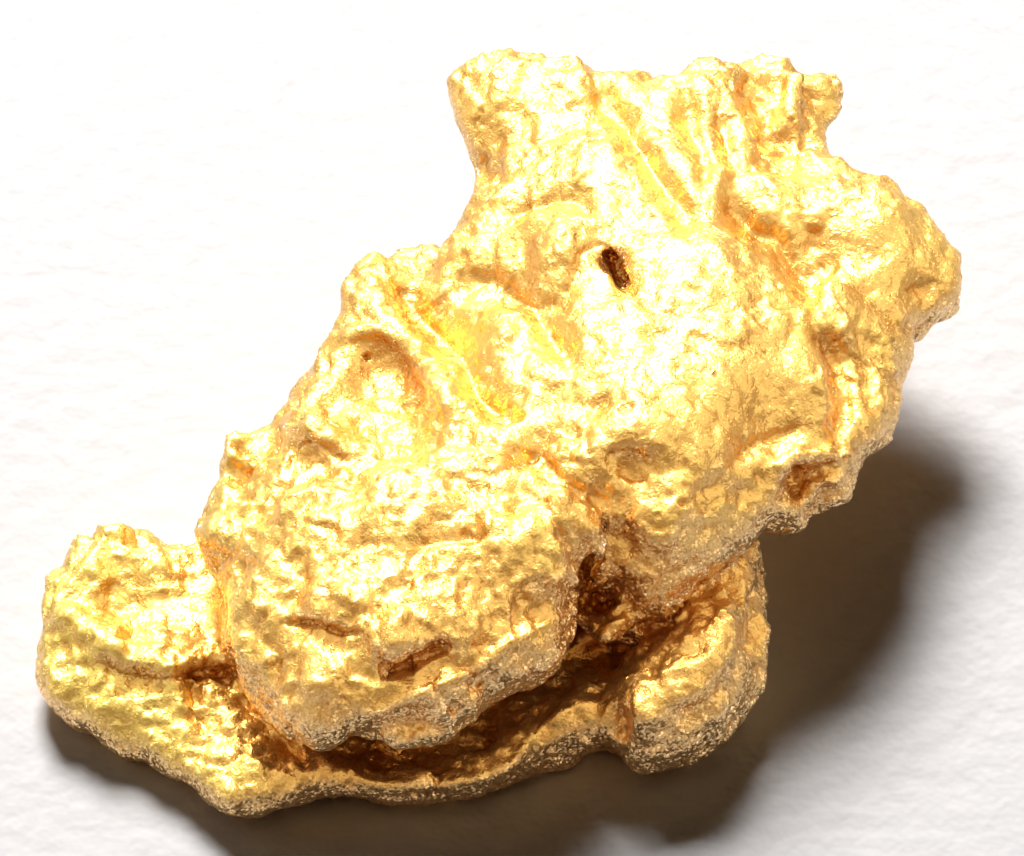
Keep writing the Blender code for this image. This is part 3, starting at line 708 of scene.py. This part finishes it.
def grain_height(tree, place, cells, worn_and_side_light):
    """Heights in metres of furrowed froth, rounded grains and crystal facets."""
    froth = add_node(
        tree, "ShaderNodeTexNoise", {"Vector": place},
        Scale=1 / FROTH_SIZE, Detail=3.0, Roughness=0.62,
    ).outputs["Fac"]
    offset = add_node(
        tree, "ShaderNodeVectorMath", {0: place, 1: cells.outputs["Position"]},
        operation="SUBTRACT",
    ).outputs[0]
    tilt = add_node(
        tree, "ShaderNodeVectorMath", {0: cells.outputs["Color"]}, operation="SUBTRACT",
    )
    tilt.inputs[1].default_value = tuple(HALF)
    facets = add_node(
        tree, "ShaderNodeVectorMath", {0: offset, 1: tilt.outputs[0]}, operation="DOT_PRODUCT",
    ).outputs["Value"]
    height = scaled(tree, furrowed(tree, froth, 9.0), FURROW_HEIGHT)
    height = added(tree, height, scaled(tree, froth, FROTH_HEIGHT))
    rounded = ranged(tree, worn_and_side_light, 0.0, 1.0, 0.0, -GRAIN_HEIGHT)
    domes = scaled(tree, cells.outputs["Distance"], rounded)
    height = added(tree, height, domes)
    return added(tree, height, scaled(tree, facets, ranged(tree, worn_and_side_light, 0.0, 1.0, 0.20, 1.10)))


def native_gold(finish):
    """Native gold: satin metal with a skin of fine crystal grains.

    Outer faces, those that look sideways or down, are rubbed to a sandy skin and are
    painted a paler colour, which is painted light on the side and under faces; upper
    faces keep a frothy, brighter one. Towards the left the alloy holds more silver and
    is greener. Partly hidden places are painted a little darker as painted shade, and
    hollows and creases darker and redder still: painted shade, partly a thin red-brown
    iron staining. Dirt lies between the grains of the side and under faces.
    """
    material = bpy.data.materials.new("native gold")
    material.use_nodes = True
    tree = material.node_tree
    shader = tree.nodes["Principled BSDF"]
    place = add_node(tree, "ShaderNodeTexCoord").outputs["Object"]
    hidden, crease, worn_and_side_light = (marked(tree, name) for name in ("hidden", "crease", "worn_and_side_light"))
    across = add_node(tree, "ShaderNodeSeparateXYZ", {"Vector": place}).outputs["X"]
    patches = add_node(
        tree, "ShaderNodeTexNoise", {"Vector": place}, Scale=1 / PATCH_SIZE, Detail=3.0,
    ).outputs["Fac"]
    silver = added(
        tree, ranged(tree, across, SILVER_START, SILVER_FULL),
        ranged(tree, patches, 0.52, 0.68, 0.0, 0.4),
    )
    # Painted shade: hidden and creased points turn darker and redder, partly a thin iron staining
    stain_and_shade = added(
        tree, ranged(tree, hidden, 0.56, 0.94, 0.0, 0.92),
        ranged(tree, crease, 0.30, 1.0, 0.0, 0.22),
    )
    colour = mixed(tree, silver, finish.gold, finish.green)
    # Painted light: faces that look sideways or down get the paler colour
    colour = mixed(tree, worn_and_side_light, colour, finish.worn_and_side_light)
    # Painted shade where points are partly hidden
    colour = mixed(tree, ranged(tree, hidden, 0.06, 0.42, 0.0, 0.45), colour, finish.valley_shade)
    colour = mixed(tree, stain_and_shade, colour, finish.hollow_shade_and_stain)
    cells = add_node(tree, "ShaderNodeTexVoronoi", {"Vector": place}, Scale=1 / GRAIN_SIZE)
    dust = ranged(tree, cells.outputs["Distance"], 0.45, 0.75, 0.0, 0.38)
    dust = scaled(tree, dust, ranged(tree, worn_and_side_light, 0.0, 1.0, 0.10, 1.0))
    colour = mixed(tree, dust, colour, finish.dust)
    tree.links.new(colour, shader.inputs["Base Color"])
    shader.inputs["Metallic"].default_value = 1.0
    rough = added(
        tree, ranged(tree, patches, 0.3, 0.7, finish.roughness - 0.05, finish.roughness + 0.05),
        scaled(tree, worn_and_side_light, -0.06),
    )
    tree.links.new(rough, shader.inputs["Roughness"])
    bump = add_node(
        tree, "ShaderNodeBump", {"Height": grain_height(tree, place, cells, worn_and_side_light)},
        Strength=1.0, Distance=1.0,
    )
    tree.links.new(bump.outputs["Normal"], shader.inputs["Normal"])
    return material


def paper(finish):
    """White rag paper: matte, with a faint tooth."""
    material = bpy.data.materials.new("white paper")
    material.use_nodes = True
    tree = material.node_tree
    shader = tree.nodes["Principled BSDF"]
    shader.inputs["Base Color"].default_value = linear(finish.paper)
    shader.inputs["Roughness"].default_value = 0.9
    shader.inputs["Specular IOR Level"].default_value = 0.1
    place = add_node(tree, "ShaderNodeTexCoord").outputs["Object"]
    tooth = add_node(
        tree, "ShaderNodeTexNoise", {"Vector": place}, Scale=1 / TOOTH_SIZE, Detail=2.0,
    )
    bump = add_node(
        tree, "ShaderNodeBump", {"Height": tooth.outputs["Fac"]},
        Strength=1.0, Distance=TOOTH_HEIGHT,
    )
    tree.links.new(bump.outputs["Normal"], shader.inputs["Normal"])
    return material


def surround():
    """The room around: bright above and towards the light, dim and warm low in front.

    Only the metal reflects it. It doesn't light the paper, so the shadow stays deep.
    """
    world = bpy.data.worlds.new("room")
    world.use_nodes = True
    tree = world.node_tree
    backdrop = tree.nodes["Background"]
    way = add_node(tree, "ShaderNodeTexCoord").outputs["Generated"]
    parts = add_node(tree, "ShaderNodeSeparateXYZ", {"Vector": way})
    overhead = ranged(tree, parts.outputs["Z"], 0.05, 0.50)
    beside = ranged(tree, overhead, 0.0, 1.0, 1.0, 0.0)
    sideways = scaled(tree, ranged(tree, parts.outputs["X"], -0.3, 0.85, 1.15, 0.35), beside)
    right_wall = ranged(tree, parts.outputs["X"], 0.3, 0.9, 1.0, 1.8)
    sideways = added(tree, sideways, scaled(tree, overhead, right_wall))
    forward = ranged(tree, parts.outputs["Y"], -0.95, -0.30, 0.46, 1.1)
    upward = ranged(tree, parts.outputs["Z"], 0.0, 0.5, 0.5, 1.0)
    strength = scaled(tree, scaled(tree, sideways, forward), upward)
    towards = add_node(tree, "ShaderNodeVectorMath", {0: way}, operation="DOT_PRODUCT")
    towards.inputs[1].default_value = Vector(KEY_PLACE).normalized()
    glow = ranged(tree, towards.outputs["Value"], 0.70, 0.98, 0.0, 1.1)
    colour = mixed(tree, ranged(tree, strength, 0.15, 0.95), DIM_ROOM, BRIGHT_ROOM)
    tree.links.new(colour, backdrop.inputs["Color"])
    tree.links.new(added(tree, strength, glow), backdrop.inputs["Strength"])
    world.cycles_visibility.diffuse = False
    return world


class NUGGET_OT_surface(bpy.types.Operator):
    """Model the nugget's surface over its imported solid"""

    bl_idname = "nugget.surface"
    bl_label = "Nugget surface"

    def execute(self, context):
        shape, finish = context.scene.nugget_shape, context.scene.nugget_finish
        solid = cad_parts["nugget"]
        piece = bpy.data.objects.new("nugget_skin", solid.data.copy())
        context.scene.collection.objects.link(piece)
        alone(piece)
        bpy.ops.object.mode_set(mode="EDIT")
        bpy.ops.mesh.select_all(action="SELECT")
        bpy.ops.mesh.remove_doubles(threshold=1e-7)
        bpy.ops.object.mode_set(mode="OBJECT")
        piece.data.transform(Matrix.Scale(1 / MM, 4))
        finish_with(piece, "REMESH", mode="VOXEL", voxel_size=shape.coarse)
        finish_with(piece, "SMOOTH", factor=0.5, iterations=COARSE_ROUNDS)
        ease(piece, EASE_ROUNDS)
        press(piece, FOLDS)
        sharpen(piece, SHARPEN_ROUNDS, SHARPEN_SHARE)
        finish_with(piece, "REMESH", mode="VOXEL", voxel_size=shape.fine)
        finish_with(piece, "SMOOTH", factor=0.5, iterations=FINE_ROUNDS)
        crumple(piece, shape)
        press(piece, CREASES)
        finish_with(piece, "TRIANGULATE")
        share = min(1.0, shape.triangles / len(piece.data.polygons))
        finish_with(piece, "DECIMATE", decimate_type="COLLAPSE", ratio=share)
        points = get_points(piece)
        points[:, 2] = np.maximum(points[:, 2], 0.0)
        set_points(piece, points)
        mark_places(piece)
        piece.data.transform(Matrix.Scale(MM, 4))
        piece.data.shade_smooth()
        piece.data.materials.clear()
        piece.data.materials.append(native_gold(finish))
        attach(piece, "root")
        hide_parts("nugget")
        return {"FINISHED"}


class NUGGET_OT_stage(bpy.types.Operator):
    """Lay the paper and set the lights and the camera"""

    bl_idname = "nugget.stage"
    bl_label = "Stage"

    def execute(self, context):
        finish = context.scene.nugget_finish
        bpy.ops.object.select_all(action="DESELECT")
        bpy.ops.mesh.primitive_plane_add(size=FLOOR_SIZE, location=(0.0, 0.0, 0.0))
        floor = context.object
        floor.name = "paper_floor"
        floor.data.materials.append(paper(finish))
        context.scene.world = surround()
        self.add_light("key", KEY_PLACE, KEY_SIZE, finish.key)
        self.add_light("side", SIDE_PLACE, SIDE_SIZE, finish.side)
        self.add_camera(context)
        context.scene.view_settings.view_transform = "Standard"
        return {"FINISHED"}

    def add_light(self, name, place, size, power):
        """A square soft light that looks at the nugget."""
        lamp = bpy.data.lights.new(name, "AREA")
        lamp.size = size
        lamp.energy = power
        item = bpy.data.objects.new(name, lamp)
        item.location = place
        item.rotation_euler = Vector(place).to_track_quat("Z", "Y").to_euler()
        bpy.context.scene.collection.objects.link(item)

    def add_camera(self, context):
        """The front view's camera."""
        lens = bpy.data.cameras.new("front view")
        lens.sensor_width = SENSOR
        lens.lens = SENSOR * VIEW_DISTANCE / (VIEW_WIDTH_PX * PIXEL)
        lens.clip_start = 0.01
        camera = bpy.data.objects.new("front view", lens)
        camera.location = eye() * MM
        camera.rotation_euler = (math.pi / 2 - VIEW_TILT, 0.0, 0.0)
        context.scene.collection.objects.link(camera)
        context.scene.camera = camera


class NUGGET_PT_panel(bpy.types.Panel):
    """The nugget's settings and steps in the sidebar."""

    bl_idname = "NUGGET_PT_panel"
    bl_label = "Gold Nugget"
    bl_space_type = "VIEW_3D"
    bl_region_type = "UI"
    bl_category = "Nugget"

    def draw(self, context):
        for group in (context.scene.nugget_shape, context.scene.nugget_finish):
            box = self.layout.box()
            for name in group.__annotations__:
                box.prop(group, name)
        for step in STEPS:
            self.layout.operator(step.bl_idname)


STEPS = (NUGGET_OT_surface, NUGGET_OT_stage)
CLASSES = (NuggetShape, NuggetFinish, *STEPS, NUGGET_PT_panel)


def register():
    """Register the classes and hang the settings on the scene."""
    for item in CLASSES:
        bpy.utils.register_class(item)
    bpy.types.Scene.nugget_shape = bpy.props.PointerProperty(type=NuggetShape)
    bpy.types.Scene.nugget_finish = bpy.props.PointerProperty(type=NuggetFinish)


def unregister():
    """Take the settings and classes away again."""
    del bpy.types.Scene.nugget_finish
    del bpy.types.Scene.nugget_shape
    for item in reversed(CLASSES):
        bpy.utils.unregister_class(item)


def main():
    """Make the nugget and its stage."""
    register()
    bpy.ops.nugget.surface()
    bpy.ops.nugget.stage()


if __name__ == "__main__":
    main()
